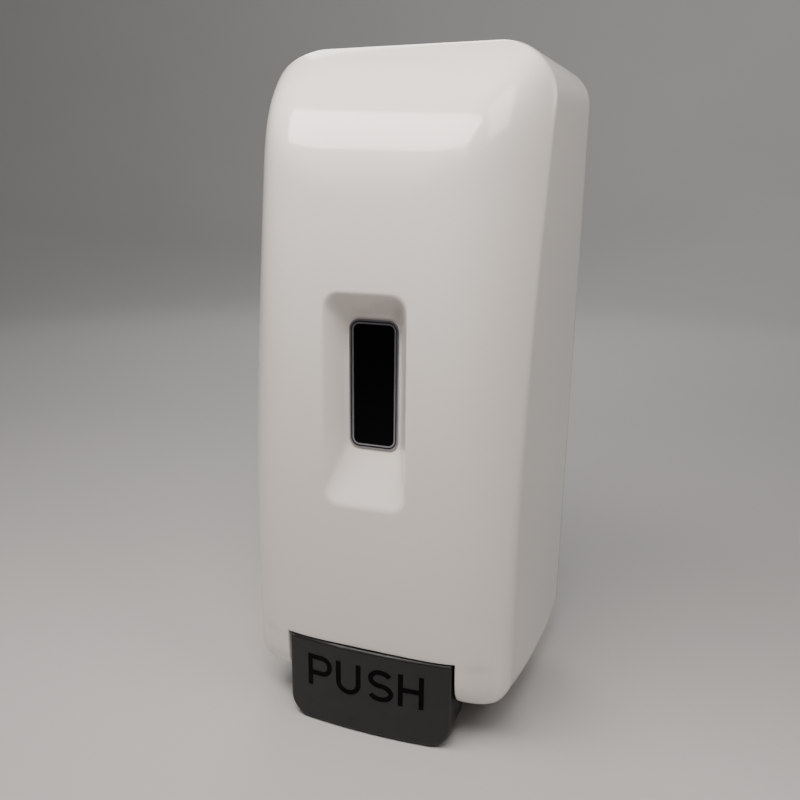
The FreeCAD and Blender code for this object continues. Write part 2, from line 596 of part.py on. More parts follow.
def make_pump():
    """The fixed pump housing, the sliding piston, its spring and valves, and the nozzle."""
    keep(turned("pump_housing", [
        ("chamber_bore", "chamber_low"), ("barrel_outer", "chamber_low"),
        ("barrel_outer", "flange_low"), ("flange_radius", "flange_low"),
        ("flange_radius", "flange_high"), ("chamber_outer", "flange_high"),
        ("chamber_outer", "chamber_top"), ("inlet_hole", "chamber_top"),
        ("inlet_hole", "chamber_top - chamber_roof"),
        ("chamber_bore", "chamber_top - chamber_roof")]))
    keep(turned("pump_end_cap", [
        ("stem_radius + stem_play", "end_cap_low"), ("barrel_outer", "end_cap_low"),
        ("barrel_outer", "chamber_low"), ("chamber_bore - 0.1", "chamber_low"),
        ("chamber_bore - 0.1", "chamber_low + end_cap_spigot"),
        ("stem_radius + stem_play", "chamber_low + end_cap_spigot")]))
    keep(turned("inlet_valve", [
        ("inlet_hole - 1.2", "chamber_top + 1"), ("inlet_hole + 1.8", "chamber_top + 1"),
        ("inlet_hole + 1.8", "chamber_top"), ("inlet_hole - 0.3", "chamber_top"),
        ("inlet_hole - 0.5", "chamber_top - 3"), (0.6, "chamber_top - 9"),
        (0, "chamber_top - 9"), (0, "chamber_top - 8"), (0.4, "chamber_top - 8"),
        ("inlet_hole - 1.2", "chamber_top - 2.6")]))
    keep(turned("piston", [
        ("stem_low_bore", "actuator_low + actuator_thick"),
        ("stem_radius", "actuator_low + actuator_thick"), ("stem_radius", "head_low"),
        ("head_radius", "head_low"), ("head_radius", "seal_low"), ("groove_radius", "seal_low"),
        ("groove_radius", "seal_high"), ("head_radius", "seal_high"), ("head_radius", "head_high"),
        ("stem_bore", "head_high"), ("stem_bore", "duckbill_ledge"),
        ("stem_low_bore", "duckbill_ledge")]))
    keep(turned("piston_seal", [
        ("groove_radius", "seal_low"), ("seal_radius", "seal_low"),
        ("seal_radius", "seal_high"), ("groove_radius", "seal_high")]))
    keep(turned("outlet_valve", [
        (1.6, "duckbill_ledge + 1"), ("stem_bore - 0.05", "duckbill_ledge + 1"),
        ("stem_bore - 0.05", "duckbill_ledge"), (2.2, "duckbill_ledge"),
        (0.5, "duckbill_ledge - 5"), (0, "duckbill_ledge - 5"), (0, "duckbill_ledge - 4.3"),
        (0.3, "duckbill_ledge - 4.3")]))
    keep(turned("pump_actuator", [
        ("stem_low_bore", "actuator_low"), ("actuator_radius", "actuator_low"),
        ("actuator_radius", "actuator_low + actuator_thick"),
        ("actuator_hub", "actuator_low + actuator_thick"), ("actuator_hub", "actuator_hub_high"),
        ("stem_radius + 0.02", "actuator_hub_high"),
        ("stem_radius + 0.02", "actuator_low + actuator_thick"),
        ("stem_low_bore", "actuator_low + actuator_thick")]))
    keep(turned("foam_nozzle", [
        ("nozzle_bore", "nozzle_low"), ("nozzle_radius - 1.8", "nozzle_low"),
        ("nozzle_radius - 1.2", "nozzle_low + 1"), ("nozzle_radius", "nozzle_low + 12"),
        ("nozzle_radius", "actuator_low"), ("screen_radius + 0.05", "actuator_low"),
        ("screen_radius + 0.05", "screen_low"), ("nozzle_bore", "screen_low")]))
    keep(turned("foam_screen", [
        (0, "screen_low"), ("screen_radius", "screen_low"), ("screen_radius", "screen_high"),
        ("screen_radius - 1", "screen_high"), ("screen_radius - 1", "screen_low + 0.6"),
        (0, "screen_low + 0.6")]))
    make_pump_spring()


def make_pump_spring():
    """A compression spring between the actuator and the pump's end cap, bent in short runs."""
    wire, gap, runs = size("spring_wire"), size("spring_gap"), int(size("spring_runs"))
    low = size("actuator_low") + size("actuator_thick") + wire + gap
    pitch = (size("end_cap_low") - low - wire - gap) / size("spring_turns")
    points = [V(size("spring_radius") * math.cos(2 * math.pi * i / runs),
                size("spring_radius") * math.sin(2 * math.pi * i / runs), pitch * i / runs)
              for i in range(int(size("spring_turns") * runs) + 1)]
    section = Part.Wire(Part.makeCircle(wire, points[0], points[1] - points[0]))
    right_corners = 1
    coil = Part.makePolygon(points).makePipeShell([section], True, False, right_corners)
    spring = feature("pump_spring", coil)
    spring.Placement = FreeCAD.Placement(V(0, -size("pump_depth"), low), FreeCAD.Rotation())
    keep(spring)


# ---------------------------------------------------------------- bottle

def bottle_form(label, inset):
    """A rounded bottle that hangs neck down; the inside is the same form, drawn in."""
    across = "bottle_half_width - %s" % inset
    front, rear = "-bottle_front + %s" % inset, "-bottle_rear - %s" % inset
    body = pad(label, "XY_Plane", [("-(%s)" % across, front), (across, front), (across, rear),
                                   ("-(%s)" % across, rear)],
               "bottle_high - bottle_low - 2 * %s" % inset, lift="bottle_low + %s" % inset)
    round_edges(body, label + "_uprights", "bottle_corner - %s" % inset,
                lambda edge: runs_along(edge, Z_AXIS))
    round_edges(body, label + "_ends", "bottle_round - %s" % inset,
                lambda edge: edge.BoundBox.ZLength < 1e-3)
    return body


def make_bottle():
    outside = join("bottle_outside", [
        bottle_form("bottle_body", "0"),
        cylinder("bottle_neck", "neck_radius", "bottle_low - neck_low + 5", y="-pump_depth",
                 z="neck_low")])
    inside = join("bottle_inside", [
        bottle_form("bottle_space", "bottle_wall"),
        cylinder("neck_space", "neck_radius - neck_wall", "bottle_low - neck_low + 10",
                 y="-pump_depth", z="neck_low - 2")])
    keep(cut("soap_bottle", outside, inside))
    keep(turned("bottle_cap", [
        ("cap_lip", "cap_low"), ("cap_radius", "cap_low"), ("cap_radius", "cap_high"),
        ("cap_bore", "cap_high"), ("cap_bore", "flange_low"), ("cap_lip", "flange_low")]))
    keep(turned("neck_gasket", [
        ("chamber_outer + 0.2", "flange_high"), ("flange_radius", "flange_high"),
        ("flange_radius", "neck_low"), ("chamber_outer + 0.2", "neck_low")]))


# ---------------------------------------------------------------- lock

def make_lock():
    """A key lock in the cover's top, with a hook cam that turns behind a post on the back plate."""
    lock = "-lock_depth"
    keep(turned("lock_housing", [
        ("plug_radius + plug_play", "lock_barrel_low"), ("lock_barrel", "lock_barrel_low"),
        ("lock_barrel", "lock_seat"), ("lock_flange", "lock_seat"),
        ("lock_flange", "lock_seat + lock_flange_thick"),
        ("plug_radius + plug_play", "lock_seat + lock_flange_thick")], y=lock))
    hexagon = [("nut_radius * %.6f" % math.cos(math.radians(60 * i)),
                "nut_radius * %.6f" % math.sin(math.radians(60 * i))) for i in range(6)]
    nut = pad("nut_blank", "XY_Plane", hexagon, "nut_high - nut_low", lift="nut_low")
    place(nut, y=lock, z="nut_low")
    keep(cut("lock_nut", nut, cylinder("nut_hole", "lock_barrel + 0.02", 20, y=lock, z=115)))
    plug = cylinder("plug_blank", "plug_radius", "lock_seat + 1.2 - plug_low", y=lock, z="plug_low")
    keyway = box("keyway", (-0.8, 0.8), ("-lock_depth - 3", "-lock_depth + 3"),
                 ("lock_seat - 9", "lock_seat + 3"))
    tapping = cylinder("cam_tapping", "small_hole", 6, y=lock, z="plug_low - 1")
    keep(cut("lock_plug", plug, keyway, tapping))
    keep(feature("lock_cam", cam_shape()))
    screw = [cylinder("cam_screw_shank", "small_screw", 6, y=lock, z="plug_low - cam_thick - 0.5"),
             cylinder("cam_screw_head", "small_head", 1.6, y=lock,
                      z="plug_low - cam_thick - 1.6")]
    keep(join("cam_screw", screw))
    base = box("keeper_base_plate", ("-keeper_half_width", "keeper_half_width"),
               ("-plate_thick - keeper_base", "-plate_thick"),
               ("keeper_base_low", "keeper_low + keeper_arm"))
    arm = box("keeper_arm_plate", ("-post_outer", "-post_inner"), ("-post_front", "-plate_thick"),
              ("keeper_low", "keeper_low + keeper_arm"))
    post = box("keeper_post", ("-post_outer", "-post_inner"), ("-post_front", "-post_rear"),
               ("keeper_low", "keeper_high"))
    holes = [cylinder("keeper_hole_%d" % i, "small_hole", 12, x=x, z=z, axis=-Y_AXIS)
             for i, (x, y, z, holds) in enumerate(small_screw_spots()) if holds == "keeper"]
    keep(cut("lock_keeper", join("keeper_walls", [base, arm, post]), *holes))


def cam_shape():
    """A hub, a stem and a curved hook, which all turn in one level plane."""
    low, thick = size("plug_low") - size("cam_thick"), size("cam_thick")
    centre = V(0, -size("lock_depth"), low)
    hub = Part.makeCylinder(size("cam_hub"), thick, centre)
    half, reach = size("cam_half_width"), size("cam_reach")
    stem = Part.makeBox(reach - 1, 2 * half, thick, centre + V(0, -half, 0))
    sweep = 53
    hook = Part.makeCylinder(reach, thick, V(0, 0, 0), Z_AXIS, sweep).cut(
        Part.makeCylinder(size("cam_hook"), thick, V(0, 0, 0), Z_AXIS, sweep))
    hook.rotate(V(0, 0, 0), Z_AXIS, -15)
    hook.translate(centre)
    hole = Part.makeCylinder(size("small_hole"), thick + 2, centre - Z_AXIS)
    return hub.fuse([stem, hook]).removeSplitter().cut(hole)


# ---------------------------------------------------------------- build and write

make_front_cover()
make_window()
make_push_lever()
make_lever_pivot()
make_back_plate()
make_hinge_pins()
make_pump_bracket()
make_small_screws()
make_pump()
make_bottle()
make_lock()
doc.recompute()

for obj in doc.Objects:
    assert not {"Invalid", "Error"} & set(obj.State), "%s: %s" % (obj.Label, obj.State)
os.makedirs("parts", exist_ok=True)
for obj in nodes:
    shape = obj.Shape
    assert not shape.isNull() and shape.isValid() and shape.Solids, obj.Label
    shape.exportStep("parts/%s.step" % obj.Label)
    bounds = shape.BoundBox
    print("%-18s solids %d volume %10.1f  x %7.2f %7.2f  y %8.2f %7.2f  z %8.2f %7.2f" % (
        obj.Label, len(shape.Solids), shape.Volume, bounds.XMin, bounds.XMax, bounds.YMin,
        bounds.YMax, bounds.ZMin, bounds.ZMax))
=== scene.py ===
"""The looks of the wall mounted soap dispenser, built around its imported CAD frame.

Lengths in the shape functions are millimetres in the row frame: X right, Y into the wall, Z up,
so a depth of 90 lies at Y = -0.090. Everything becomes metres when a mesh is made.
"""
import math

import bmesh
import bpy
from mathutils import Matrix, Vector


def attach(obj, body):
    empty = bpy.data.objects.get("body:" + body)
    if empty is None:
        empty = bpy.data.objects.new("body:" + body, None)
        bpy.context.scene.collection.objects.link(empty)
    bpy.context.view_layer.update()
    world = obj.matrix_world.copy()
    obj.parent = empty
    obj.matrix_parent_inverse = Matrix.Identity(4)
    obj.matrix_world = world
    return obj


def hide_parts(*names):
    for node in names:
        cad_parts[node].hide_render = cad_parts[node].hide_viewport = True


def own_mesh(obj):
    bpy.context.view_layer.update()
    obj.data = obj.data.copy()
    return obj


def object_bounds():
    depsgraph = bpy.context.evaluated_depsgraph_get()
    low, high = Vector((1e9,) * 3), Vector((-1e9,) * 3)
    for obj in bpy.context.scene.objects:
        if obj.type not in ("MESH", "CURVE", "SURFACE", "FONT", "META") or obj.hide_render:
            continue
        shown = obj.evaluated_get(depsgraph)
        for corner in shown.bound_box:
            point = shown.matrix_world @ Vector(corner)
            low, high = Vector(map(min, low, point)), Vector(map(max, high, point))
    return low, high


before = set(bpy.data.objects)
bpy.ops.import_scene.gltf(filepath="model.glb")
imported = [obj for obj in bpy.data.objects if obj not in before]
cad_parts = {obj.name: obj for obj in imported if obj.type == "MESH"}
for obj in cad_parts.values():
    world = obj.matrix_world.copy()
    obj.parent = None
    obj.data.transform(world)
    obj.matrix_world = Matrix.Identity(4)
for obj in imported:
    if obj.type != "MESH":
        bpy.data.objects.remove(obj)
CAD_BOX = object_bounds()
MM = 0.001

# ---------------------------------------------------------------- shape of the cover

# the outline in the front view, at the wall, and how it changes with each mm of depth
HALF_WIDTH, SIDE_DRAFT = 63.2, 0.065
TOP, TOP_RISE = 131.0, 0.052
TOP_CORNER, TOP_CORNER_GROWTH = 16.0, 0.13
BOTTOM_CORNER, BOTTOM_CORNER_POWER = 12.0, 0.8
# the bowed front, and the crease where it meets the skirt, which draws back towards the top
FRONT, BOW, BOW_HEIGHT, BOW_REACH = 106.0, 6.2, -5.0, 135.0
CREASE, CREASE_RETREAT, CREASE_START, CREASE_REACH = 89.3, 31.0, -80.0, 214.0
CREASE_POWER, SIDE_POWER, SHOULDER_POWER = 1.75, 9, 4.4
SHOULDER_START, SHOULDER_REACH = 75.0, 59.0
CREASE_ROUND_TOP, CREASE_ROUND_FOOT = 1.25, 3.4
# the rounded lower ends beside the lever, and three points (depth, height) of the lower edge
LOBE_RADIUS, LOBE_DEPTH, LOBE_HEIGHT = 20.0, 82.5, -109.4
LOWER_EDGE = ((0.6, -122.5), (44.25, -131.4), (82.5, -129.4))
REAR = 0.6
WALL = 2.4
RIM_ROUND = 0.6
NOTCH_HALF, NOTCH_TOP = 37.4, -105.5
# height at which the columns round the window end and the rows beside the lever begin
SPLIT = -100.0
# depths of the recess's floor and mouth, and rings as (half width, low, high, corner radius)
RECESS_FLOOR, RECESS_MOUTH = 95.0, 106.0
FLOOR_RING = (10.9, -21.1, 32.0, 4.8)
MOUTH_RING = (17.1, -42.4, 42.3, 6.5)
WINDOW_RING = (10.27, -20.37, 31.17, 4.27)
MOUTH_ROUND = 1.2
# how finely the skin is divided
TOP_STEPS, CORNER_STEPS, SIDE_STEPS = 22, 26, 130
BAND_ROWS, LOWER_ROWS, LOBE_ROWS, FOOT_ROWS = 3, 3, 18, 14
CENTRE_COLUMNS, LOBE_COLUMNS = 26, 15
WALL_ROWS, LIP_ROWS, FRONT_ROWS = 6, 6, 46
CREASE_ROWS, SKIRT_ROWS = 8, 30
SETTLE_STEPS = 60
# the lock, the hinge sleeves and the cheeks inside
LOCK_DEPTH, LOCK_HOLE, LOCK_SEAT, LOCK_SEAT_HEIGHT = 18, 7.05, 9.2, 131.2
HINGE_DEPTH, HINGE_HEIGHT, HINGE_RADIUS, HINGE_BORE = 13, -119, 5.6, 2.6
HINGE_INNER, HINGE_OUTER = 52.8, 61.6
CHEEK_REAR, CHEEK_FRONT, CHEEK_TOP, CHEEK_LOW = 76.0, 98.6, -98.0, -128.0
CHEEK_SETBACK, CHEEK_STEPS = 0.6, 12


def clamp(value, low=0.0, high=1.0):
    """The value, held between two bounds."""
    return max(low, min(high, value))


def mix(a, b, share):
    """The value a share of the way from a to b."""
    return a + (b - a) * share


def half_width(depth):
    """Half the cover's width at a depth."""
    return HALF_WIDTH - SIDE_DRAFT * depth


def crease_depth(z):
    """Depth of the soft crease where the crowned front meets the side skirt."""
    return CREASE - CREASE_RETREAT * max(0.0, (z - CREASE_START) / CREASE_REACH) ** CREASE_POWER


def crown_depth(x, z):
    """Depth of the bowed front, which falls to the crease at the sides and the top."""
    middle = FRONT - BOW * ((z - BOW_HEIGHT) / BOW_REACH) ** 2
    crease = crease_depth(z)
    aside = (abs(x) / half_width(crease)) ** SIDE_POWER
    above = max(0.0, (z - SHOULDER_START) / SHOULDER_REACH) ** SHOULDER_POWER
    return crease + (middle - crease) * (1 - math.sqrt(aside + above))


def lobe_depth(z):
    """Depth of the rounded lower ends beside the lever, in the side view."""
    drop = z - LOBE_HEIGHT
    runaway = 0.3
    if drop > 0:
        return LOBE_DEPTH + LOBE_RADIUS + runaway * drop ** 2
    return LOBE_DEPTH + math.sqrt(max(0.0, LOBE_RADIUS ** 2 - drop ** 2))


def front_depth(x, z):
    """Depth of the whole front: the crown, run softly into the rounded lower ends."""
    crown, lobe = crown_depth(x, z), lobe_depth(z)
    least, gain, start, reach = 3, 9, 38, 12
    soft = least + gain * clamp((abs(x) - start) / reach)
    near = max(0.0, soft - abs(crown - lobe)) / soft
    return min(crown, lobe) - near ** 2 * soft / 4


def circle_through(a, b, c):
    """Centre and radius of the circle through three points of the plane."""
    (ax, ay), (bx, by), (cx, cy) = a, b, c
    d = 2 * (ax * (by - cy) + bx * (cy - ay) + cx * (ay - by))
    ux = ((ax ** 2 + ay ** 2) * (by - cy) + (bx ** 2 + by ** 2) * (cy - ay)
          + (cx ** 2 + cy ** 2) * (ay - by)) / d
    uy = ((ax ** 2 + ay ** 2) * (cx - bx) + (bx ** 2 + by ** 2) * (ax - cx)
          + (cx ** 2 + cy ** 2) * (bx - ax)) / d
    return ux, uy, math.hypot(ax - ux, ay - uy)


EDGE_CIRCLE = circle_through(*LOWER_EDGE)


def low_height(depth):
    """Height of the cover's lower edge at a depth, from the side view."""
    if depth > LOBE_DEPTH:
        return LOBE_HEIGHT - math.sqrt(max(0.0, LOBE_RADIUS ** 2 - (depth - LOBE_DEPTH) ** 2))
    cd, cz, radius = EDGE_CIRCLE
    return cz - math.sqrt(radius ** 2 - (depth - cd) ** 2)


def outline(kind, share, depth):
    """A point of the outline at a depth, and its outward direction, both as (x, z)."""
    wide, top = half_width(depth), TOP + TOP_RISE * depth
    upper = TOP_CORNER + TOP_CORNER_GROWTH * depth
    low = low_height(depth)
    lower = BOTTOM_CORNER * clamp(depth / LOBE_DEPTH, 0.25) ** BOTTOM_CORNER_POWER
    if kind == "top":
        return ((wide - upper) * share, top), (0.0, 1.0)
    if kind == "side":
        return (wide, mix(top - upper, low + lower, share)), (1.0, 0.0)
    if kind == "corner":
        angle = math.radians(90 * (1 - share))
        out = (math.cos(angle), math.sin(angle))
        return (wide - upper + upper * out[0], top - upper + upper * out[1]), out
    if kind == "foot":
        angle = math.radians(-90 * share)
        out = (math.cos(angle), math.sin(angle))
        return (wide - lower + lower * out[0], low + lower + lower * out[1]), out
    return (mix(wide - lower, NOTCH_HALF + RIM_ROUND, share), low), (0.0, -1.0)


def edge_depth(kind, share):
    """Depth at which a column of the outline meets the front."""
    if kind == "floor":
        return LOBE_DEPTH
    if kind == "foot":
        return mix(LOBE_DEPTH, CREASE, math.cos(math.radians(90 * share)))
    depth = 70.0
    for _ in range(SETTLE_STEPS):
        depth = mix(depth, crease_depth(outline(kind, share, depth)[0][1]), 0.5)
    return depth


def softness(z):
    """How far the crease is rounded: tight at the top, and broad towards the foot."""
    start, reach, power = 40, 140, 1.3
    return mix(CREASE_ROUND_TOP, CREASE_ROUND_FOOT, clamp((start - z) / reach) ** power)


def hermite(p0, t0, p1, t1, share):
    """A point between two points that leaves and arrives along two unit directions."""
    reach = (p1 - p0).length
    s = share
    return (p0 * (2 * s ** 3 - 3 * s ** 2 + 1) + t0 * reach * (s ** 3 - 2 * s ** 2 + s)
            + p1 * (3 * s ** 2 - 2 * s ** 3) + t1 * reach * (s ** 3 - s ** 2))


def front_at(x, z):
    """The point of the front surface behind a point of the front view."""
    return Vector((x, -front_depth(x, z), z))


def front_slope(x, z, direction):
    """Unit direction along the front surface over a direction in the front view."""
    step = 0.02
    a = front_at(x - direction[0] * step, z - direction[1] * step)
    b = front_at(x, z)
    return (b - a).normalized()


def ring_at(ring, angle, centre_z=0.0):
    """Where a ray from the recess's centre meets a rounded rectangle (half, low, high, radius)."""
    half, low, high, radius = ring
    dx, dz = math.cos(angle), math.sin(angle)

    def outside(distance):
        x, z = dx * distance, centre_z + dz * distance
        qx = abs(x) - (half - radius)
        qz = abs(z - (low + high) / 2) - ((high - low) / 2 - radius)
        return math.hypot(max(qx, 0), max(qz, 0)) + min(max(qx, qz), 0) - radius
    near, far = 0.0, 200.0
    for _ in range(50):
        middle = (near + far) / 2
        if outside(middle) > 0:
            far = middle
        else:
            near = middle
    return dx * near, centre_z + dz * near


def recess_ring(depth):
    """The recess's rounded rectangle at a depth, between its floor and its mouth."""
    share = (depth - RECESS_FLOOR) / (RECESS_MOUTH - RECESS_FLOOR)
    return tuple(mix(a, b, share) for a, b in zip(FLOOR_RING, MOUTH_RING))


# ---------------------------------------------------------------- mesh helpers

class Skin:
    """A surface gathered from rows of points, with vertices that lie together made one."""

    CLOSE = 2000

    def __init__(self):
        self.bm = bmesh.new()
        self.found = {}

    def vertex(self, point):
        """The one vertex at a point, where points closer than half a thousandth count as one."""
        key = tuple(round(c * self.CLOSE) for c in point)
        if key not in self.found:
            self.found[key] = self.bm.verts.new(point)
        return self.found[key]

    def rows(self, rows):
        """Quads between rows of equal length, for x and mirrored for -x."""
        for upper, lower in zip(rows, rows[1:]):
            for i in range(len(upper) - 1):
                quad = (upper[i], upper[i + 1], lower[i + 1], lower[i])
                for side in (1, -1):
                    corners = []
                    for p in quad:
                        v = self.vertex((p[0] * side, p[1], p[2]))
                        if v not in corners:
                            corners.append(v)
                    if side < 0:
                        corners.reverse()
                    if len(corners) > 2:
                        try:
                            self.bm.faces.new(corners)
                        except ValueError:
                            pass


def rim_directions(rims):
    """For each vertex of the free edges, the directions that lead off the surface there."""
    outward = {}
    for e in rims:
        face = e.link_faces[0]
        along = (e.verts[1].co - e.verts[0].co).normalized()
        out = along.cross(face.normal).normalized()
        if out.dot(e.verts[0].co - face.calc_center_median()) < 0:
            out.negate()
        for v in e.verts:
            outward.setdefault(v, []).append(out)
    return outward


def rim_path(bm, outer, inner, normal, outs, thickness, radius):
    """The rounded way from an outer vertex over the rim to its inner one."""
    mean = sum(outs, Vector()).normalized()
    mitre = 1 / max(0.6, mean.dot(outs[0]))
    path = [outer]
    for degrees in (30, 60, 90):
        a = math.radians(degrees)
        path.append(bm.verts.new(outer.co + mean * radius * mitre * math.sin(a)
                                 - normal * radius * (1 - math.cos(a))))
    for degrees in (0, 30, 60):
        a = math.radians(degrees)
        path.append(bm.verts.new(outer.co + mean * radius * mitre * math.cos(a)
                                 - normal * (thickness - radius * (1 - math.sin(a)))))
    path.append(inner)
    return path


def close_wall(bm, thickness, radius):
    """Give an open skin a wall: an inner skin, and a rounded rim along every free edge."""
    bm.normal_update()
    outer = list(bm.verts)
    faces = list(bm.faces)
    normals = {v: v.normal.copy() for v in outer}
    rims = [e for e in bm.edges if len(e.link_faces) == 1]
    outward = rim_directions(rims)
    inner = {v: bm.verts.new(v.co - normals[v] * thickness) for v in outer}
    for f in faces:
        bm.faces.new([inner[v] for v in reversed(f.verts)])
    paths = {v: rim_path(bm, v, inner[v], normals[v], outs, thickness, radius)
             for v, outs in outward.items()}
    for e in rims:
        a, b = e.verts
        if e.link_loops[0].vert != b:
            a, b = b, a
        for k in range(len(paths[a]) - 1):
            bm.faces.new([paths[a][k], paths[b][k], paths[b][k + 1], paths[a][k + 1]])
    bm.normal_update()


def as_object(name, bm, scale=MM, smooth_angle=40):
    """A mesh object in metres from a bmesh in millimetres, smooth apart from its sharp edges."""
    bmesh.ops.scale(bm, vec=(scale,) * 3, verts=bm.verts)
    mesh = bpy.data.meshes.new(name)
    bm.to_mesh(mesh)
    bm.free()
    mesh.shade_smooth()
    mesh.set_sharp_from_angle(angle=math.radians(smooth_angle))
    made = bpy.data.objects.new(name, mesh)
    bpy.context.scene.collection.objects.link(made)
    return made


def tube(bm, start, end, radius, sides=40, bore=0.0, edge=0.3):
    """A round bar or sleeve with softened rims between two points."""
    axis = (end - start).normalized()
    side = axis.orthogonal().normalized()
    other = axis.cross(side)
    length = (end - start).length
    profile = [(radius - edge, 0), (radius, edge), (radius, length - edge), (radius - edge, length)]
    if bore:
        profile += [(bore, length), (bore, 0)]
    rings = []
    for i in range(sides):
        a = 2 * math.pi * i / sides
        out = side * math.cos(a) + other * math.sin(a)
        rings.append([bm.verts.new(start + axis * h + out * r) for r, h in profile])
    for i in range(sides):
        one, two = rings[i], rings[(i + 1) % sides]
        last = len(profile) if bore else len(profile) - 1
        for k in range(last):
            n = (k + 1) % len(profile)
            bm.faces.new([one[k], two[k], two[n], one[n]])
    if not bore:
        bm.faces.new([r[0] for r in reversed(rings)])
        bm.faces.new([r[-1] for r in rings])


# ---------------------------------------------------------------- the cover

def side_share(height):
    """The share of the outline's side at which the crease passes a height."""
    share, pace = 1.0, 210
    for _ in range(SETTLE_STEPS):
        depth = edge_depth("side", share)
        (_, z), _ = outline("side", share, depth)
        share += (z - height) / pace
    return share


def outline_columns():
    """Half the outline as (kind, share), from the top's middle round to the lever's notch."""
    columns = [("top", i / TOP_STEPS) for i in range(TOP_STEPS)]
    columns += [("corner", i / CORNER_STEPS) for i in range(CORNER_STEPS)]
    low = side_share(SPLIT)
    columns += [("side", low * i / SIDE_STEPS) for i in range(SIDE_STEPS + 1)]
    straight = BAND_ROWS + LOWER_ROWS + LOBE_ROWS - FOOT_ROWS
    columns += [("side", mix(low, 1.0, i / straight)) for i in range(1, straight)]
    columns += [("foot", i / FOOT_ROWS) for i in range(FOOT_ROWS + 1)]
    columns += [("floor", i / LOBE_COLUMNS) for i in range(1, LOBE_COLUMNS + 1)]
    return columns


def column_edges():
    """For each column of the outline, where the front ends and the skirt's rounding begins."""
    edges = []
    for kind, share in outline_columns():
        depth = edge_depth(kind, share)
        (x, z), out = outline(kind, share, depth)
        soft = softness(z)
        inner = (x - out[0] * soft, z - out[1] * soft)
        edges.append((kind, share, depth, out, soft, inner))
    return edges


def row_heights(lowest):
    """Heights of the rows beside the notch, from the split down to the lowest point."""
    notch = NOTCH_TOP + RIM_ROUND
    heights = [mix(SPLIT, notch, j / BAND_ROWS) for j in range(BAND_ROWS + 1)]
    heights += [mix(notch, LOBE_HEIGHT, j / LOWER_ROWS) for j in range(1, LOWER_ROWS + 1)]
    reach = math.asin(clamp((LOBE_HEIGHT - lowest) / LOBE_RADIUS))
    heights += [LOBE_HEIGHT - LOBE_RADIUS * math.sin(reach * j / LOBE_ROWS)
                for j in range(1, LOBE_ROWS + 1)]
    return heights


def lower_rows(inners, split_index, heights):
    """Rows from the notch's side to the outline, in the front view."""
    inner_line = NOTCH_HALF + RIM_ROUND
    rows_total = len(heights) - 1
    rows = []
    for j in range(rows_total + 1):
        x1, z1 = inners[split_index + j]
        row = []
        for i in range(LOBE_COLUMNS + 1):
            s = i / LOBE_COLUMNS
            row.append((mix(inner_line, x1, s), mix(heights[j], z1, s)))
        rows.append(row)
    for i in range(LOBE_COLUMNS + 1):
        rows[rows_total][i] = inners[split_index + rows_total + LOBE_COLUMNS - i]
    return rows


def cover_skin():
    """The cover's outer surface in mm, with the window's opening, the notch and the rear open."""
    skin = Skin()
    edges = column_edges()
    inners = [e[5] for e in edges]
    split_index = TOP_STEPS + CORNER_STEPS + SIDE_STEPS
    heights = row_heights(inners[-1][1])
    lines = lower_rows(inners, split_index, heights)
    skin.rows([[front_at(*p) for p in row] for row in lines])
    # the band above the notch
    inner_line = NOTCH_HALF + RIM_ROUND
    centre = [[(inner_line * i / CENTRE_COLUMNS, heights[j]) for i in range(CENTRE_COLUMNS + 1)]
              for j in range(BAND_ROWS + 1)]
    skin.rows([[front_at(*p) for p in row] for row in centre])
    # columns from the window's opening, up the recess's wall and out to the crease or the band
    targets = inners[:split_index + 1]
    targets += [lines[0][i] for i in range(LOBE_COLUMNS - 1, -1, -1)]
    targets += [centre[0][i] for i in range(CENTRE_COLUMNS - 1, -1, -1)]
    skin.rows([recess_column(x, z) for x, z in targets])
    # round the crease, then back to the rear edge
    skin.rows([skirt_column(*edge) for edge in edges])
    bmesh.ops.recalc_face_normals(skin.bm, faces=skin.bm.faces)
    if skin.bm.calc_volume(signed=True) < 0:
        bmesh.ops.reverse_faces(skin.bm, faces=skin.bm.faces)
    return skin.bm


def mouth_at(angle):
    """Point and depth at which the recess's wall meets the front, along a ray."""
    depth = 105.5
    for _ in range(6):
        mouth = ring_at(recess_ring(depth), angle)
        depth = front_depth(*mouth)
    return mouth, depth


def recess_column(x, z):
    """One column of points from the window's opening to a point near the crease."""
    angle = math.atan2(z, x)
    mouth, depth = mouth_at(angle)
    out = Vector((math.cos(angle), math.sin(angle)))
    window = ring_at(WINDOW_RING, angle)
    points = [Vector((window[0], -RECESS_FLOOR, window[1]))]
    floor = ring_at(recess_ring(RECESS_FLOOR), angle)
    step = 0.35
    near = ring_at(recess_ring(RECESS_FLOOR + step), angle)
    points.append(Vector((mix(window[0], floor[0], 0.6), -RECESS_FLOOR,
                          mix(window[1], floor[1], 0.6))))
    points.append(Vector((near[0], -RECESS_FLOOR - step, near[1])))
    wall_end = depth - MOUTH_ROUND * 0.8
    for k in range(1, WALL_ROWS + 1):
        at = mix(RECESS_FLOOR + step, wall_end, k / WALL_ROWS)
        px, pz = ring_at(recess_ring(at), angle)
        points.append(Vector((px, -at, pz)))
    wall_point = points[-1]
    rise = (points[-1] - points[-2]).normalized()
    lip = (mouth[0] + out[0] * MOUTH_ROUND, mouth[1] + out[1] * MOUTH_ROUND)
    lip_point = front_at(*lip)
    along = front_slope(lip[0], lip[1], out)
    for k in range(1, LIP_ROWS):
        points.append(hermite(wall_point, rise, lip_point, along, k / LIP_ROWS))
    points.append(lip_point)
    for k in range(1, FRONT_ROWS + 1):
        s = k / FRONT_ROWS
        s = mix(s, s * s * (3 - 2 * s), 0.45)
        points.append(front_at(mix(lip[0], x, s), mix(lip[1], z, s)))
    return points


